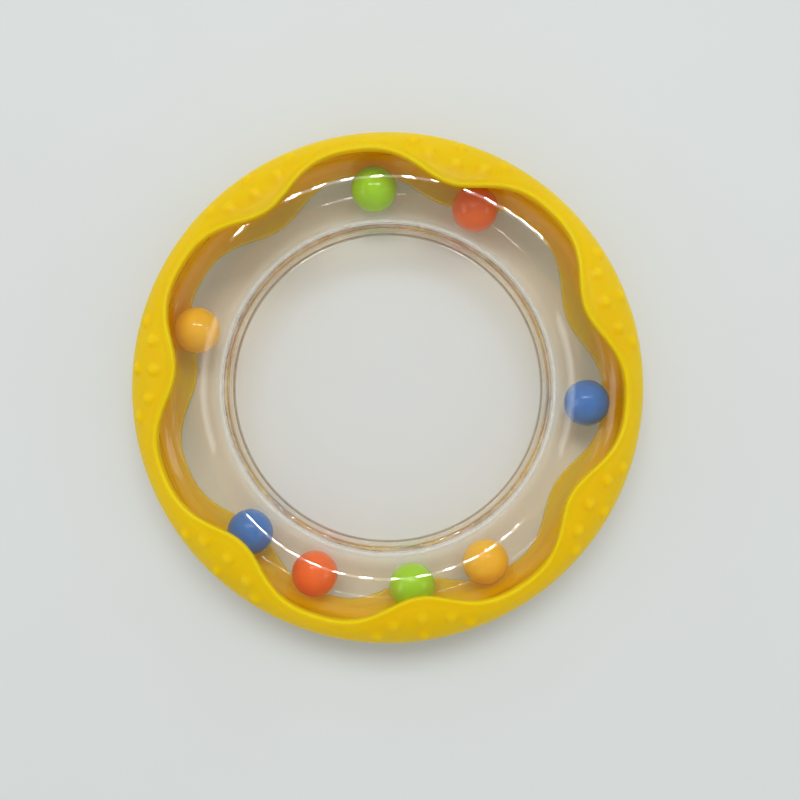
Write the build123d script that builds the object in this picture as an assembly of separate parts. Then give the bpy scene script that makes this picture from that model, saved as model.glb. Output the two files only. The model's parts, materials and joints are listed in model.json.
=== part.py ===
from build123d import *
from math import cos, pi, radians, sin, sqrt
import os

# A teething ring: a clear hollow ring, welded from two half-shells, holds eight loose rattle balls.
# A soft band with a wavy rim is gripped round its outside.
# Frame: origin at the centre of the hand hole, in the weld plane, with +Z along the ring's axis.
# Lengths are in millimetres and angles in degrees.

# Clear tube
RING_RADIUS = 43.0            # ring axis to the middle of the tube
TUBE_RADIUS = 8.6             # outside of the tube's round section
WALL = 1.4                    # thickness of the clear shells
CHANNEL_RADIUS = TUBE_RADIUS - WALL

# Weld lip round the hand hole
HOLE_RADIUS = 32.6            # inner edge of the lip, which is the wall of the hand hole
LIP_HALF_THICKNESS = 1.3      # each shell carries half of the lip
LIP_EDGE_ROUND = 0.5          # rounded edge a baby's fingers meet
LIP_ROOT_FILLET = 0.6         # where the lip runs into the tube

# Tongues on the upper shell that locate it in the lower one, on both sides of the channel
TONGUE_LENGTH = 0.8
LIP_TONGUE_RADIUS = 33.4      # inner side of the lip's tongue
LIP_TONGUE_WIDTH = 1.0
RIM_TONGUE_WIDTH = 0.65       # ledge on the inner half of the tube's outer wall
WELD_GAP = 0.05               # room round each tongue

# Soft band: a round outer section, set a little outward of the tube, cut to a wavy edge
BAND_RING_RADIUS = 44.0       # ring axis to the middle of the band's outer section
BAND_RADIUS = 10.0            # outside of that section
BAND_OFFSET = BAND_RING_RADIUS - RING_RADIUS
LOBES = 7                     # wavy lobes on each side, the upper ones over the lower ones
FIRST_LOBE = 21.45            # direction of the first lobe's tip, from +X
VALLEY_LATITUDE = 58.5        # band edge between two lobes, up from the weld plane round the tube
TIP_LATITUDE = 91.0           # band edge at a lobe's tip
LOBE_SHARPNESS = 1.5          # above 1, the tips are narrower than the valleys
EDGE_POINTS_PER_LOBE = 12

# Loose balls at rest on the bottom of the channel: (colour and letter, direction from +X)
BALL_RADIUS = 5.0
BALL_CLEARANCE = 0.05         # between a resting ball and the channel's floor
BALLS = (
    ("orange_ball_a", 64.1),
    ("green_ball_a", 94.0),
    ("amber_ball_a", 163.2),
    ("blue_ball_a", 226.3),
    ("orange_ball_b", 248.5),
    ("green_ball_b", 277.0),
    ("amber_ball_b", 299.3),
    ("blue_ball_b", 355.7),
)


def block(x_low, x_high, z_low, z_high):
    """A rectangle in the section, where x is the distance from the ring's axis and y is height."""
    centre = Pos((x_low + x_high) / 2, (z_low + z_high) / 2)
    return centre * Rectangle(x_high - x_low, z_high - z_low)


def spin(section):
    """Turn a section round the ring's axis."""
    return revolve(Plane.XZ * section, axis=Axis.Z)


def shell_section():
    """Upper half of the tube's wall, with its half of the lip."""
    upper_half = block(0, RING_RADIUS + TUBE_RADIUS, 0, TUBE_RADIUS)
    outside = Pos(RING_RADIUS) * Circle(TUBE_RADIUS) & upper_half
    lip = block(HOLE_RADIUS, RING_RADIUS, 0, LIP_HALF_THICKNESS)
    body = outside + lip
    lip_corners = body.vertices().filter_by_position(
        Axis.Y, LIP_HALF_THICKNESS - WELD_GAP, LIP_HALF_THICKNESS + WELD_GAP
    ).sort_by(Axis.X)
    edge_corner, root_corner = lip_corners
    body = fillet(edge_corner, LIP_EDGE_ROUND)
    root = body.vertices().sort_by_distance((root_corner.X, root_corner.Y))[0]
    body = fillet(root, LIP_ROOT_FILLET)
    return body - Pos(RING_RADIUS) * Circle(CHANNEL_RADIUS)


def tongues(gap):
    """The two tongues under the weld plane, each grown by the gap."""
    depth = -TONGUE_LENGTH - gap
    lip_end = LIP_TONGUE_RADIUS + LIP_TONGUE_WIDTH
    lip_tongue = block(LIP_TONGUE_RADIUS - gap, lip_end + gap, depth, 0)
    rim_start = RING_RADIUS + CHANNEL_RADIUS
    rim_tongue = block(rim_start - gap, rim_start + RIM_TONGUE_WIDTH + gap, depth, 0)
    return lip_tongue + rim_tongue


def upper_shell():
    return spin(shell_section() + tongues(0))


def lower_shell():
    return spin(mirror(shell_section(), about=Plane.XZ) - tongues(WELD_GAP))


def band_radius(latitude):
    """From the tube's middle to the band's outer surface, at a latitude round the tube."""
    across = BAND_OFFSET * sin(latitude)
    return BAND_OFFSET * cos(latitude) + sqrt(BAND_RADIUS**2 - across**2)


def edge_latitude(from_tip):
    """Latitude of the band's edge, at an angle from the nearest lobe's tip."""
    rise = ((1 + cos(LOBES * from_tip)) / 2) ** LOBE_SHARPNESS
    return radians(VALLEY_LATITUDE + (TIP_LATITUDE - VALLEY_LATITUDE) * rise)


def edge_prism():
    """The space inside both wavy edges, which the band leaves open."""
    count = LOBES * EDGE_POINTS_PER_LOBE
    points = []
    for index in range(count):
        from_tip = 2 * pi * index / count
        latitude = edge_latitude(from_tip)
        reach = RING_RADIUS + band_radius(latitude) * cos(latitude)
        direction = from_tip + radians(FIRST_LOBE)
        points.append((reach * cos(direction), reach * sin(direction)))
    outline = make_face(Spline(*points, periodic=True))
    return extrude(outline, amount=2 * BAND_RADIUS, both=True)


def teething_band():
    outside = Torus(BAND_RING_RADIUS, BAND_RADIUS) - edge_prism()
    return outside - Torus(RING_RADIUS, TUBE_RADIUS)


def ball(direction):
    height = BALL_RADIUS + BALL_CLEARANCE - CHANNEL_RADIUS
    angle = radians(direction)
    return Pos(RING_RADIUS * cos(angle), RING_RADIUS * sin(angle), height) * Sphere(BALL_RADIUS)


def write(name, solid):
    export_step(solid, os.path.join("parts", name + ".step"))


os.makedirs("parts", exist_ok=True)
write("upper_shell", upper_shell())
write("lower_shell", lower_shell())
write("teething_band", teething_band())
for ball_name, ball_direction in BALLS:
    write(ball_name, ball(ball_direction))
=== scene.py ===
import json
from math import acos, asin, cos, pi, radians, sin, sqrt, tau

import bmesh
import bpy
import numpy as np
from mathutils import Matrix, Vector


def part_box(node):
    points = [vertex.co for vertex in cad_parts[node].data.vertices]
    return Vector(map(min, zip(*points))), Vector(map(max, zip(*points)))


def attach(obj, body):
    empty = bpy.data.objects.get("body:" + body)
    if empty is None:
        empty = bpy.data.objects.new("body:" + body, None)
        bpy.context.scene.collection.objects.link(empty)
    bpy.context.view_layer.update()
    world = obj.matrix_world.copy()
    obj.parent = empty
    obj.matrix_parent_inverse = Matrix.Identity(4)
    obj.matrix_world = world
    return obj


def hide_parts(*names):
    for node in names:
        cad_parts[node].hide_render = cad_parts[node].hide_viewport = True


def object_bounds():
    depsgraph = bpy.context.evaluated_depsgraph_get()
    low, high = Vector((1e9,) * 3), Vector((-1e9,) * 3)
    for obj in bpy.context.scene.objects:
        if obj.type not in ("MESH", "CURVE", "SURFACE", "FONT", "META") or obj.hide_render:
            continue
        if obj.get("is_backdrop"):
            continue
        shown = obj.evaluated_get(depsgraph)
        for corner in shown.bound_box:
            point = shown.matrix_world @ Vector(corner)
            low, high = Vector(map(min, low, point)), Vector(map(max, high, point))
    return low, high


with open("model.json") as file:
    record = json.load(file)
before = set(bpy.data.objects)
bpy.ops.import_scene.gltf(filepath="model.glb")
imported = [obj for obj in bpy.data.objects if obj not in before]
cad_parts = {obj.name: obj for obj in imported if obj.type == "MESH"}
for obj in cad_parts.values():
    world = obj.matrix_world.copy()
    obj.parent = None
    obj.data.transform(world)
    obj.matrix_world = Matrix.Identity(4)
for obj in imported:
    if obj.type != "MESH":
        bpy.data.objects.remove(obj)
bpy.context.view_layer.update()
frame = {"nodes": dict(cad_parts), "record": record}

MM = 0.001

# ---- Sizes that come from the frame ----

shell_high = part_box("upper_shell")[1]
band_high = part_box("teething_band")[1]
hand_hole = next(m for m in frame["record"]["mounts"] if m["name"] == "hand_hole")
BALL_NAMES = [name for name in frame["nodes"] if "_ball_" in name]

TUBE_RADIUS = shell_high.z                      # outside of the clear tube's round section
RING_RADIUS = shell_high.x - TUBE_RADIUS        # ring axis to the middle of the tube
HOLE_RADIUS = hand_hole["dims"]["r_mm"] * MM    # inner edge of the weld lip
BAND_RADIUS = band_high.z                       # outside of the band's round section
BAND_OFFSET = band_high.x - BAND_RADIUS - RING_RADIUS

# ---- Details of the clear shells that the frame doesn't give ----

WALL = 1.4 * MM
CHANNEL_RADIUS = TUBE_RADIUS - WALL
SEAM_GAP = 0.02 * MM            # half of the hairline between the two shells
LIP_HALF_THICKNESS = 1.3 * MM
LIP_EDGE_ROUND = 0.3 * MM       # crisper than the CAD's, for the thin lines seen round the hand hole
LIP_ROOT_FILLET = 1.4 * MM      # wider than the CAD's, for the soft line where the lip meets the tube
TONGUE_LENGTH = 0.8 * MM
TONGUE_ROOM = 0.05 * MM
LIP_TONGUE = (33.4 * MM, 34.4 * MM)             # inner and outer side of the lip's tongue
RIM_TONGUE = (RING_RADIUS + CHANNEL_RADIUS, RING_RADIUS + CHANNEL_RADIUS + 0.65 * MM)
SHELL_TURNS = 288               # steps round the ring
TUBE_STEPS = 84                 # steps along half of the tube's section
ROUND_STEPS = 8                 # steps along each small rounding of the lip

# ---- Details of the soft band ----

LOBES = 7
FIRST_LOBE = radians(21.45)     # direction of the first lobe's tip, from +X
VALLEY_LATITUDE = radians(58.5)  # band edge between two lobes, up from the weld plane round the tube
TIP_LATITUDE = radians(91.0)    # band edge at a lobe's tip
LOBE_SHARPNESS = 1.5            # above 1, the tips are narrower than the valleys
BAND_FIT = 0.03 * MM            # between the band and the tube it grips
BAND_TURNS = LOBES * 118
CROWDING = 0.3                  # how much closer together the turns are at a lobe's tip
EDGE_ROUND = 0.4 * MM           # corner between the band's outside and the wall of its edge
RIM_HEIGHT = 0.10 * MM          # fine raised rim along the edge, with a shallow groove beside it
RIM_WIDTH = 0.35 * MM
GROOVE_DEPTH = 0.12 * MM
GROOVE_PLACE = 1.1 * MM
GROOVE_WIDTH = 0.5 * MM
BUMPS = ((0, 66), (-7, 59), (7, 59), (0, 40), (-11, 42), (11, 42))  # degrees: from the tip, latitude
BUMP_REACH = 1.65 * MM          # footprint, with its soft skirt
BUMP_HEIGHT = 0.65 * MM
BUMP_FULLNESS = 1.4             # above 1, the top is a little flat

# Rows of points in the band's section
FACE_ROWS = np.linspace(0, 1, 37)[:-1]          # share of the way up the outside, to the fine rows
FINE_FROM = 2.8 * MM                            # from the corner
FINE_ROWS = np.array([2.4, 2.0, 1.6, 1.3, 1.05, 0.8, 0.6, 0.4, 0.25, 0.12, 0]) * MM
CORNER_ROWS = np.linspace(0, 1, 7)[1:]          # share of the way round the corner
WALL_ROWS = np.array([[0.35, 0.7, 1.0]])        # share of the way down the wall of the edge
BACK_ROWS = np.array([[0.94, 0.75, 0.5, 0.25]])  # share of the way up from the equator, inside

# ---- Details of the balls ----

BALL_SEAM_HEIGHT = 0.03 * MM    # parting line left by the mould
BALL_SEAM_WIDTH = 0.15 * MM
BALL_GATE_ANGLE = radians(6)    # small flat spot where the plastic was fed
BALL_GATE_DEPTH = 0.05 * MM
BALL_TURNS = 72
GATE_ROWS = np.linspace(0.02, BALL_GATE_ANGLE * 1.2, 7)    # radians from the pole
CAP_ROWS = np.linspace(0.18, 1.4, 22)
SEAM_ROWS = np.linspace(-0.12, 0.12, 13)        # radians from the equator
SEAM_TURN = 2.4                 # radians by which each ball's seam is turned on from the last one's
SEAM_TILTS = (0.7, 0.9)         # radians: the first ball's tilt, and what each next one adds


# ---- Mesh helpers ----

def mesh_object(name, points, faces, crease=radians(35)):
    """A smooth-shaded object from points and faces, with edges above the crease angle kept sharp."""
    mesh = bpy.data.meshes.new(name)
    mesh.from_pydata([tuple(p) for p in points], [], faces)
    shape = bmesh.new()
    shape.from_mesh(mesh)
    bmesh.ops.recalc_face_normals(shape, faces=shape.faces)
    shape.to_mesh(mesh)
    shape.free()
    mesh.shade_smooth()
    mesh.set_sharp_from_angle(angle=crease)
    made = bpy.data.objects.new(name, mesh)
    bpy.context.scene.collection.objects.link(made)
    return made


def closed_grid(rows, columns):
    """Faces of a grid whose rows and columns both close on themselves."""
    faces = []
    for row in range(rows):
        after = (row + 1) % rows
        for column in range(columns):
            beside = (column + 1) % columns
            faces.append((row * columns + column, row * columns + beside,
                          after * columns + beside, after * columns + column))
    return faces


def turn(profile, turns):
    """Points of a closed profile of (distance from the axis, height), turned round the axis."""
    reach, height = np.array(profile).T
    angles = np.arange(turns) * tau / turns
    x = np.outer(np.cos(angles), reach)
    y = np.outer(np.sin(angles), reach)
    z = np.tile(height, (turns, 1))
    return np.stack([x, y, z], axis=2).reshape(-1, 3)


def arc(centre, radius, start, end, steps):
    """Points along an arc, both ends included."""
    angles = np.linspace(start, end, steps + 1)
    return [(centre[0] + radius * cos(a), centre[1] + radius * sin(a)) for a in angles]


# ---- Clear shells ----

def shell_outside():
    """From the hand hole's edge over the lip, its root fillet and the tube, to the rim at the outside."""
    top = LIP_HALF_THICKNESS
    edge_centre = (HOLE_RADIUS + LIP_EDGE_ROUND, top - LIP_EDGE_ROUND)
    edge = arc(edge_centre, LIP_EDGE_ROUND, pi, pi / 2, ROUND_STEPS)
    fillet_z = top + LIP_ROOT_FILLET
    fillet_x = RING_RADIUS - sqrt((TUBE_RADIUS + LIP_ROOT_FILLET)**2 - fillet_z**2)
    towards_tube = acos((RING_RADIUS - fillet_x) / (TUBE_RADIUS + LIP_ROOT_FILLET))
    root = arc((fillet_x, fillet_z), LIP_ROOT_FILLET, -pi / 2, -towards_tube, ROUND_STEPS)
    lowest = asin(SEAM_GAP / TUBE_RADIUS)
    tube = arc((RING_RADIUS, 0), TUBE_RADIUS, pi - towards_tube, lowest, TUBE_STEPS)
    return edge + root + tube[1:]


def shell_inside():
    """The channel's wall, from the outer side of the ring back to the inner side."""
    lowest = asin(SEAM_GAP / CHANNEL_RADIUS)
    return arc((RING_RADIUS, 0), CHANNEL_RADIUS, lowest, pi - lowest, TUBE_STEPS)


def shell_profile(has_tongues):
    """Closed half-section, and which of its points start an edge that is welded to the other shell.

    The upper shell's tongues reach below the seam, and the lower shell's grooves take them."""
    room = 0 if has_tongues else TONGUE_ROOM
    depth = -TONGUE_LENGTH if has_tongues else TONGUE_LENGTH + TONGUE_ROOM
    rim_end = RIM_TONGUE[1] + room
    outside = shell_outside()
    inside = shell_inside()
    if has_tongues:
        ledge = RIM_TONGUE[0] + TONGUE_ROOM
    else:
        ledge = RING_RADIUS + sqrt(CHANNEL_RADIUS**2 - depth**2)
        inside = [p for p in inside if p[1] > depth or p[0] < RING_RADIUS]
    rim = [(rim_end, SEAM_GAP), (rim_end, depth), (ledge, depth)]
    lip_outer, lip_inner = LIP_TONGUE[1] + room, LIP_TONGUE[0] - room
    lip = [(lip_outer, SEAM_GAP), (lip_outer, depth), (lip_inner, depth), (lip_inner, SEAM_GAP)]
    profile = outside + rim + inside + lip + [(HOLE_RADIUS, SEAM_GAP)]
    rim_from = len(outside) - 1
    lip_from = len(outside) + len(rim) + len(inside) - 1
    rim_starts = range(rim_from, rim_from + len(rim) + 1)
    lip_starts = range(lip_from, lip_from + len(lip) + 1)
    return profile, {*rim_starts, *lip_starts}


def shell(name, has_tongues):
    """One clear half-shell. The lower one's section is worked out above the seam, and then mirrored."""
    profile, welded = shell_profile(has_tongues)
    if not has_tongues:
        profile = [(reach, -height) for reach, height in profile]
    made = mesh_object(name, turn(profile, SHELL_TURNS), closed_grid(SHELL_TURNS, len(profile)))
    for face in made.data.polygons:
        if face.index % len(profile) in welded:
            face.material_index = 1
    return made


# ---- Soft band ----

def edge_latitude(from_tip):
    """Latitude of the band's edge round the tube, at an angle from a lobe's tip."""
    rise = ((1 + np.cos(LOBES * from_tip)) / 2) ** LOBE_SHARPNESS
    return VALLEY_LATITUDE + (TIP_LATITUDE - VALLEY_LATITUDE) * rise


def band_outside(latitude):
    """From the tube's middle to the band's outer surface."""
    across = BAND_OFFSET * np.sin(latitude)
    return BAND_OFFSET * np.cos(latitude) + np.sqrt(BAND_RADIUS**2 - across**2)


def smooth(share):
    """Smooth step from 0 to 1."""
    share = np.clip(share, 0, 1)
    return share * share * (3 - 2 * share)


def bell(distance, width):
    """A smooth hump of height 1."""
    return np.exp(-(distance / width) ** 2)


def bump_lift(direction, out, height):
    """How far the bumps raise points of the band's outside, given as (direction, place in the section)."""
    lift = np.zeros(out.shape)
    latitude = np.arctan2(height, out)
    reach = np.hypot(out, height)
    for from_tip, bump_latitude in BUMPS:
        around = (direction - FIRST_LOBE - radians(from_tip) + pi / LOBES) % (tau / LOBES) - pi / LOBES
        sideways = around[:, None] * (RING_RADIUS + out)
        along = (latitude - radians(bump_latitude)) * reach
        distance = np.hypot(sideways, along) / BUMP_REACH
        lift += BUMP_HEIGHT * smooth(BUMP_FULLNESS * (1 - distance))
    return lift


def edge_corner(direction):
    """For each direction: the place of the edge's wall, and its corner's height and start angle."""
    edge = edge_latitude(direction - FIRST_LOBE)
    wall = (band_outside(edge) * np.cos(edge))[:, None]
    across = wall + EDGE_ROUND - BAND_OFFSET
    corner_z = np.sqrt((BAND_RADIUS - EDGE_ROUND) ** 2 - across ** 2)
    return wall, corner_z, np.arctan2(corner_z, across)


def band_face(direction, corner_start):
    """The outside, from the equator up to the corner, with its bumps, groove and rim."""
    coarse = (corner_start - FINE_FROM / BAND_RADIUS) * FACE_ROWS
    angle = np.hstack([coarse, corner_start - FINE_ROWS / BAND_RADIUS])
    from_corner = (corner_start - angle) * BAND_RADIUS
    rim = RIM_HEIGHT * bell(from_corner, RIM_WIDTH)
    groove = GROOVE_DEPTH * bell(from_corner - GROOVE_PLACE, GROOVE_WIDTH)
    plain_out = BAND_OFFSET + BAND_RADIUS * np.cos(angle)
    bumps = bump_lift(direction, plain_out, BAND_RADIUS * np.sin(angle))
    raised = BAND_RADIUS + rim - groove + bumps
    return BAND_OFFSET + raised * np.cos(angle), raised * np.sin(angle)


def band_corner(wall, corner_z, corner_start):
    """Round the corner, from the rim over to the wall of the edge."""
    angle = corner_start + (pi - corner_start) * CORNER_ROWS
    size = EDGE_ROUND + RIM_HEIGHT * np.cos(pi / 2 * CORNER_ROWS)
    return wall + EDGE_ROUND + size * np.cos(angle), corner_z + size * np.sin(angle)


def band_back(wall, corner_z):
    """Down the wall of the edge to the tube, and back along the tube towards the equator."""
    inner = TUBE_RADIUS + BAND_FIT
    contact_z = np.sqrt(inner**2 - wall**2)
    down = corner_z + (contact_z - corner_z) * WALL_ROWS
    angle = np.arctan2(contact_z, wall) * BACK_ROWS
    out = np.hstack([wall + 0 * WALL_ROWS, inner * np.cos(angle)])
    return out, np.hstack([down, inner * np.sin(angle)])


def band_half(direction):
    """Upper half of the band's section for each direction: out from the tube's middle, and height."""
    wall, corner_z, corner_start = edge_corner(direction)
    parts = (
        band_face(direction, corner_start),
        band_corner(wall, corner_z, corner_start),
        band_back(wall, corner_z),
    )
    return np.hstack([out for out, height in parts]), np.hstack([height for out, height in parts])


def band_points():
    """The whole band's points: each turn has the upper half-section, then the lower one backwards."""
    even = np.arange(BAND_TURNS) * tau / BAND_TURNS
    direction = even - CROWDING / LOBES * np.sin(LOBES * even) + FIRST_LOBE
    out, height = band_half(direction)
    equator = np.full((BAND_TURNS, 1), TUBE_RADIUS + BAND_FIT)
    out = np.hstack([out, equator, out[:, :0:-1]])
    height = np.hstack([height, 0 * equator, -height[:, :0:-1]])
    x = (RING_RADIUS + out) * np.cos(direction)[:, None]
    y = (RING_RADIUS + out) * np.sin(direction)[:, None]
    return np.stack([x, y, height], axis=2)


def teething_band():
    points = band_points()
    made = mesh_object("soft_band", points.reshape(-1, 3), closed_grid(*points.shape[:2]))
    return made


# ---- Balls ----

def ball_reach(angle, radius):
    """Radius of a moulded ball at an angle from its pole, with the parting line and the gate's flat."""
    from_seam = (angle - pi / 2) * radius
    seam = BALL_SEAM_HEIGHT * bell(from_seam, BALL_SEAM_WIDTH)
    gate = BALL_GATE_DEPTH * np.clip(1 - (angle / BALL_GATE_ANGLE) ** 4, 0, 1)
    return radius + seam - gate


def ball_points(radius):
    """Points in rows from pole to pole, then the two poles; and the number of rows."""
    cap = np.concatenate([GATE_ROWS, CAP_ROWS])
    angles = np.concatenate([cap, SEAM_ROWS + pi / 2, pi - cap[::-1]])
    reach = ball_reach(angles, radius)
    around = np.arange(BALL_TURNS) * tau / BALL_TURNS
    x = np.outer(reach * np.sin(angles), np.cos(around))
    y = np.outer(reach * np.sin(angles), np.sin(around))
    z = np.outer(reach * np.cos(angles), np.ones(BALL_TURNS))
    points = np.stack([x, y, z], axis=2).reshape(-1, 3)
    return list(points) + [(0, 0, reach[0]), (0, 0, -reach[-1])], len(angles)


def ball_faces(rows):
    """Faces between the rows, and the fans round the two poles."""
    faces = []
    last_row = (rows - 1) * BALL_TURNS
    first_pole = rows * BALL_TURNS
    last_pole = first_pole + 1
    for column in range(BALL_TURNS):
        beside = (column + 1) % BALL_TURNS
        for start in range(0, last_row, BALL_TURNS):
            after = start + BALL_TURNS
            faces.append((start + column, after + column, after + beside, start + beside))
        faces.append((first_pole, column, beside))
        faces.append((last_pole, last_row + beside, last_row + column))
    return faces


def ball(node, index):
    """One rattle ball in its CAD ball's place, its seam tilted its own way."""
    low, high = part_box(node)
    points, rows = ball_points((high.z - low.z) / 2 - BALL_SEAM_HEIGHT)
    made = mesh_object(node + "_moulded", points, ball_faces(rows))
    first_tilt, tilt_step = SEAM_TILTS
    tilt = Matrix.Rotation(first_tilt + tilt_step * index, 4, "X")
    turned = Matrix.Rotation(SEAM_TURN * index, 4, "Z") @ tilt
    made.data.transform(Matrix.Translation((low + high) / 2) @ turned)
    return made


# ---- Material helpers ----

def add(tree, kind, values=None, **settings):
    """A shader node with its settings and its inputs, each a plain value or another node's output."""
    made = tree.nodes.new(kind)
    for key, value in settings.items():
        setattr(made, key, value)
    for key, value in (values or {}).items():
        if isinstance(value, bpy.types.NodeSocket):
            tree.links.new(value, made.inputs[key])
        else:
            made.inputs[key].default_value = value
    return made


def new_material(name):
    """A new material, its node tree, and the output that gives the place on the object, in metres."""
    material = bpy.data.materials.new(name)
    material.use_nodes = True
    tree = material.node_tree
    tree.nodes.clear()
    return material, tree, add(tree, "ShaderNodeTexCoord").outputs["Object"]


def finish_material(tree, surface):
    add(tree, "ShaderNodeOutputMaterial", {"Surface": surface})


def noise(tree, place, size, detail=3.0):
    """Noise whose features are about size across."""
    return add(tree, "ShaderNodeTexNoise", {"Vector": place, "Scale": 1 / size, "Detail": detail}).outputs[0]


def between(tree, value, low, high, start=0.35, end=0.65):
    """Map a value from start..end, which is where noise mostly lies, to low..high."""
    values = {"Value": value, "From Min": start, "From Max": end, "To Min": low, "To Max": high}
    return add(tree, "ShaderNodeMapRange", values).outputs[0]


def maths(tree, operation, first, second=0.0):
    return add(tree, "ShaderNodeMath", {0: first, 1: second}, operation=operation).outputs[0]


def bump(tree, height, distance, strength=1.0, **normal):
    values = {"Height": height, "Distance": distance, "Strength": strength, **normal}
    return add(tree, "ShaderNodeBump", values).outputs[0]


def mix_colour(tree, share, first, second):
    """The first colour where share is 0, and the second where it is 1."""
    colour_inputs = {0: share, 6: first, 7: second}
    return add(tree, "ShaderNodeMix", colour_inputs, data_type="RGBA").outputs[2]


def mix_shader(tree, share, first, second):
    """The first shader where share is 0, and the second where it is 1."""
    return add(tree, "ShaderNodeMixShader", {0: share, 1: first, 2: second}).outputs[0]


# ---- Materials ----

PAINTED_VEIL_NEAR_HOLE = 0.02            # share of light in a painted pale veil near the hand hole, standing in for reflections
PAINTED_RING_VEIL = 0.35                # the same, in a painted pale ring where the lip runs into the tube, standing in for a reflection
ROOT_PLACE = 34.5 * MM
ROOT_WIDTH = 0.95 * MM

# Light that goes straight through the plastic. Walls met at a slant take more, and warm it.
STRAIGHT_TINT = (1.0, 0.99, 0.97, 1)
STRAIGHT_SHADOW_TINT = (0.975, 0.955, 0.915, 1)
SLANT_TINT = (0.97, 0.88, 0.68, 1)
SLANT_SHADOW_TINT = (0.40, 0.34, 0.25, 1)
SLANT_POWER = 4.0

RUBBER_COLOUR = (0.80, 0.55, 0.005, 1)
RUBBER_SHADE = (0.77, 0.52, 0.004, 1)
SPECK_COLOUR = (0.12, 0.07, 0.02, 1)
SPECK_CELL = 3.5 * MM           # one possible speck to a cell
SPECK_RADIUS = (0.03, 0.06)     # in cells: fully dark, and fading out
SPECK_RARITY = (0.90, 0.91)     # only cells that drew more than this have a speck
SPECK_STRENGTH = 0.6

BALL_COLOURS = {
    "green": (0.40, 0.74, 0.010),
    "orange": (1.0, 0.17, 0.012),
    "blue": (0.07, 0.22, 0.62),
    "amber": (0.98, 0.54, 0.02),
}
MOTTLE_SHADE = 0.93


def painted_veil_share(tree, place, haze):
    """Share of the painted pale veil that stands in for reflections: a little near the hand hole, more in a
    painted pale ring at the lip's root.
    """
    flat = add(tree, "ShaderNodeVectorMath", {0: place, 1: (1, 1, 0)}, operation="MULTIPLY").outputs[0]
    reach = add(tree, "ShaderNodeVectorMath", {0: flat}, operation="LENGTH").outputs["Value"]
    # painted veil, fading out from the hand hole to the tube's middle
    veil_near_hole = between(tree, reach, PAINTED_VEIL_NEAR_HOLE, 0, RING_RADIUS - TUBE_RADIUS, RING_RADIUS)
    # painted pale ring round the lip's root, standing in for a reflection
    from_root = maths(tree, "ABSOLUTE", maths(tree, "SUBTRACT", reach, ROOT_PLACE))
    root = between(tree, from_root, PAINTED_RING_VEIL, 0, 0, ROOT_WIDTH)
    veil_share = maths(tree, "MAXIMUM", veil_near_hole, root)
    return maths(tree, "MULTIPLY", veil_share, between(tree, haze, 0.7, 1.3))


def passing_light(tree, is_shadow_ray):
    """What the plastic does to light that lights other surfaces: it goes straight through, tinted."""
    facing = add(tree, "ShaderNodeLayerWeight", {"Blend": 0.5}).outputs["Facing"]
    slant = maths(tree, "POWER", facing, SLANT_POWER)
    straight_tint = mix_colour(tree, is_shadow_ray, STRAIGHT_TINT, STRAIGHT_SHADOW_TINT)
    slant_tint = mix_colour(tree, is_shadow_ray, SLANT_TINT, SLANT_SHADOW_TINT)
    tint = mix_colour(tree, slant, straight_tint, slant_tint)
    return add(tree, "ShaderNodeBsdfTransparent", {"Color": tint}).outputs[0]


def clear_plastic():
    """Clear moulded plastic with faint flow waves, and a painted pale veil near the hand hole and at the
    lip's root that stands in for reflections.
    """
    material, tree, place = new_material("clear_plastic")
    haze = noise(tree, place, 3 * MM, 6.0)
    wave = bump(tree, noise(tree, place, 7 * MM, 2.0), 0.004 * MM)
    ripple = bump(tree, noise(tree, place, 0.9 * MM, 1.0), 0.0012 * MM, Normal=wave)
    plastic = add(tree, "ShaderNodeBsdfPrincipled", {
        "Base Color": (1.0, 0.987, 0.955, 1),
        "Roughness": between(tree, haze, 0.008, 0.025),
        "IOR": 1.52,
        "Transmission Weight": 1.0,
        "Normal": ripple,
    }).outputs[0]
    # painted veil: a pale diffuse layer that stands in for reflections, not a real mark
    painted_veil = add(tree, "ShaderNodeBsdfDiffuse", {"Color": (0.95, 0.93, 0.88, 1)}).outputs[0]
    seen = mix_shader(tree, painted_veil_share(tree, place, haze), plastic, painted_veil)
    path = add(tree, "ShaderNodeLightPath").outputs
    passes = maths(tree, "MAXIMUM", path["Is Shadow Ray"], path["Is Diffuse Ray"])
    passing = passing_light(tree, path["Is Shadow Ray"])
    finish_material(tree, mix_shader(tree, passes, seen, passing))
    return material


def welded_joint():
    """Where the two clear shells are fused: light passes, with a trace of milky bubbles."""
    material, tree, place = new_material("welded_joint")
    clear = add(tree, "ShaderNodeBsdfTransparent", {"Color": (0.99, 0.985, 0.97, 1)}).outputs[0]
    milky = add(tree, "ShaderNodeBsdfTranslucent", {"Color": (0.9, 0.88, 0.82, 1)}).outputs[0]
    bubbles = between(tree, noise(tree, place, 0.8 * MM), 0.0, 0.06)
    finish_material(tree, mix_shader(tree, bubbles, clear, milky))
    return material


def specks(tree, place):
    """Share of dust colour: a few small dots, far apart."""
    cells = add(tree, "ShaderNodeTexVoronoi", {"Vector": place, "Scale": 1 / SPECK_CELL}).outputs
    dot = between(tree, cells["Distance"], 1, 0, *SPECK_RADIUS)
    drawn = add(tree, "ShaderNodeSeparateColor", {"Color": cells["Color"]}).outputs[0]
    return maths(tree, "MULTIPLY", dot, between(tree, drawn, 0, SPECK_STRENGTH, *SPECK_RARITY))


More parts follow.
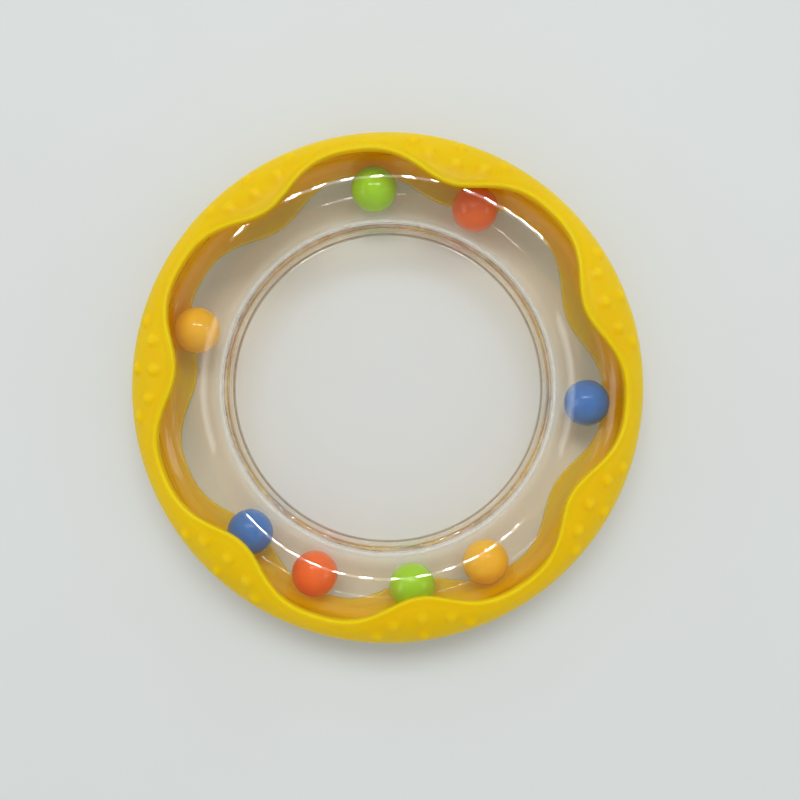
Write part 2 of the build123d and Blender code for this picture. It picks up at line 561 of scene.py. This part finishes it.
def soft_rubber():
    """Satin yellow rubber: slight shade changes, fine grain, and a few dark specks of dust."""
    material, tree, place = new_material("soft_rubber")
    shade = between(tree, noise(tree, place, 14 * MM), 0, 1)
    plain = mix_colour(tree, shade, RUBBER_COLOUR, RUBBER_SHADE)
    grain = noise(tree, place, 0.35 * MM, 2.0)
    rubber = add(tree, "ShaderNodeBsdfPrincipled", {
        "Base Color": mix_colour(tree, specks(tree, place), plain, SPECK_COLOUR),
        "Roughness": between(tree, noise(tree, place, 2 * MM), 0.42, 0.56),
        "Specular IOR Level": 0.10,
        "Subsurface Weight": 1.0,
        "Subsurface Radius": (1.0, 0.5, 0.06),
        "Subsurface Scale": 5 * MM,
        "Normal": bump(tree, grain, 0.02 * MM, 0.5),
    })
    finish_material(tree, rubber.outputs[0])
    return material


def ball_plastic(name, colour):
    """Glossy moulded plastic with a slight mottle and fine rubbing marks."""
    material, tree, place = new_material(name)
    darker = [MOTTLE_SHADE * part for part in colour]
    shade = between(tree, noise(tree, place, 2.5 * MM), 0, 1)
    marks = noise(tree, place, 0.8 * MM, 2.0)
    plastic = add(tree, "ShaderNodeBsdfPrincipled", {
        "Base Color": mix_colour(tree, shade, (*colour, 1), (*darker, 1)),
        "Roughness": between(tree, marks, 0.05, 0.10),
        "Subsurface Weight": 0.8,
        "Subsurface Radius": (1.0, 1.0, 1.0),
        "Subsurface Scale": 4 * MM,
        "Normal": bump(tree, marks, 0.004 * MM, 0.4),
    })
    finish_material(tree, plastic.outputs[0])
    return material


def floor_paper():
    """Matt pale paper with very slight changes of shade."""
    material, tree, place = new_material("floor_paper")
    shade = between(tree, noise(tree, place, 60 * MM), 0, 1)
    paper = add(tree, "ShaderNodeBsdfPrincipled", {
        "Base Color": mix_colour(tree, shade, (0.70, 0.725, 0.72, 1), (0.69, 0.71, 0.705, 1)),
        "Roughness": 0.7,
        "Specular IOR Level": 0.2,
    })
    finish_material(tree, paper.outputs[0])
    return material


# ---- The object ----

def place_piece(piece, node, body, *materials):
    """Finish a piece that stands for a CAD node, and let it move with a body."""
    for material in materials:
        piece.data.materials.append(material)
    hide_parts(node)
    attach(piece, body)


def build_object():
    clear = clear_plastic()
    weld = welded_joint()
    place_piece(shell("upper_clear_shell", True), "upper_shell", "ring", clear, weld)
    place_piece(shell("lower_clear_shell", False), "lower_shell", "ring", clear, weld)
    place_piece(teething_band(), "teething_band", "ring", soft_rubber())
    paints = {name: ball_plastic(name + "_plastic", colour) for name, colour in BALL_COLOURS.items()}
    for index, node in enumerate(BALL_NAMES):
        place_piece(ball(node, index), node, node, paints[node.split("_")[0]])


# ---- Floor, light and camera ----

FLOOR_RADIUS = 6.0
FLOOR_STEPS = 96

CAMERA_HEIGHT = 172 * MM        # above the ring's middle plane, looking straight down
CAMERA_OFFSET = (2.6 * MM, -2.6 * MM)
CAMERA_LENS = 36.3              # millimetres, as is the sensor
CAMERA_SENSOR = 36
CAMERA_CLIP = 10 * MM

LAMP_COUNT = 14                 # a row of small lamps beyond the ring's far side
LAMP_PITCH = 10.6 * MM
LAMP_SIZE = (3.8 * MM, 8 * MM)
LAMP_PLACE = (73 * MM, 132 * MM)                # distance towards +Y, height
LAMP_RADIANCE = 200.0
BOARD_SIZE = (LAMP_COUNT * LAMP_PITCH, 12 * MM)  # the pale board behind the lamps
BOARD_RADIANCE = 3.0

WINDOW_PLACE = (0.45, 0.23)     # a soft window on each side: distance, height
WINDOW_SIZE = (0.35, 0.18)
WINDOW_RADIANCE = 1.7

PANEL_TILT = radians(30)        # soft panel, leaning from straight overhead towards +Y
PANEL_DISTANCE = 2.0
PANEL_SIZE = (1.6, 0.6)
PANEL_RADIANCE = 6.3

FILL_COLOUR = (0.61, 0.622, 0.625, 1)
MIRRORED_ROOM = (0.23, 0.23, 0.23, 1)

LIGHT_BOUNCES = 24              # enough to cross all the clear walls
CLEAR_BOUNCES = 32              # the same, for light that the walls let straight through


def floor():
    """A wide sheet of paper under the lowest bumps of the band."""
    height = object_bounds()[0].z
    rim = arc((0, 0), FLOOR_RADIUS, 0, tau, FLOOR_STEPS)[:-1]
    made = mesh_object("floor", [(x, y, height) for x, y in rim], [range(len(rim))])
    made.data.materials.append(floor_paper())
    made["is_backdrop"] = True


def area_light(name, place, target, size, radiance, mirrored):
    """A rectangular light of the given radiance, either only mirrored by shiny surfaces or only lighting."""
    data = bpy.data.lights.new(name, "AREA")
    data.shape = "RECTANGLE"
    data.size, data.size_y = size
    data.energy = radiance * pi * size[0] * size[1]
    made = bpy.data.objects.new(name, data)
    made.location = place
    made.rotation_euler = (Vector(target) - Vector(place)).to_track_quat("-Z", "Y").to_euler()
    made.visible_camera = False
    made.visible_diffuse = not mirrored
    made.visible_glossy = mirrored
    made.visible_transmission = mirrored
    bpy.context.scene.collection.objects.link(made)


def lights():
    for index in range(LAMP_COUNT):
        x = (index - (LAMP_COUNT - 1) / 2) * LAMP_PITCH
        area_light("lamp", (x, *LAMP_PLACE), (x, LAMP_PLACE[0], 0), LAMP_SIZE, LAMP_RADIANCE, True)
    area_light("lamp_board", (0, *LAMP_PLACE), (0, LAMP_PLACE[0], 0), BOARD_SIZE, BOARD_RADIANCE, True)
    for side in (-1, 1):
        place = (side * WINDOW_PLACE[0], 0, WINDOW_PLACE[1])
        area_light("window", place, (0, 0, 0), WINDOW_SIZE, WINDOW_RADIANCE, True)
    panel_place = (0, PANEL_DISTANCE * sin(PANEL_TILT), PANEL_DISTANCE * cos(PANEL_TILT))
    area_light("panel", panel_place, (0, 0, 0), PANEL_SIZE, PANEL_RADIANCE, False)


def surroundings():
    """An even pale fill, which shiny surfaces mirror as a dimmer room."""
    world = bpy.data.worlds.new("surroundings")
    bpy.context.scene.world = world
    world.use_nodes = True
    tree = world.node_tree
    tree.nodes.clear()
    path = add(tree, "ShaderNodeLightPath").outputs
    mirrored = maths(tree, "MAXIMUM", path["Is Glossy Ray"], path["Is Transmission Ray"])
    colour = mix_colour(tree, mirrored, FILL_COLOUR, MIRRORED_ROOM)
    sky = add(tree, "ShaderNodeBackground", {"Color": colour, "Strength": 1.0})
    add(tree, "ShaderNodeOutputWorld", {"Surface": sky.outputs[0]})


def camera():
    data = bpy.data.cameras.new("camera")
    data.lens = CAMERA_LENS
    data.sensor_width = CAMERA_SENSOR
    data.clip_start = CAMERA_CLIP
    made = bpy.data.objects.new("camera", data)
    made.location = (*CAMERA_OFFSET, CAMERA_HEIGHT)
    bpy.context.scene.collection.objects.link(made)
    bpy.context.scene.camera = made


def light_paths():
    cycles = bpy.context.scene.cycles
    cycles.max_bounces = LIGHT_BOUNCES
    cycles.transmission_bounces = LIGHT_BOUNCES
    cycles.transparent_max_bounces = CLEAR_BOUNCES


build_object()
floor()
lights()
surroundings()
camera()
light_paths()
bpy.context.scene.view_settings.view_transform = "Standard"
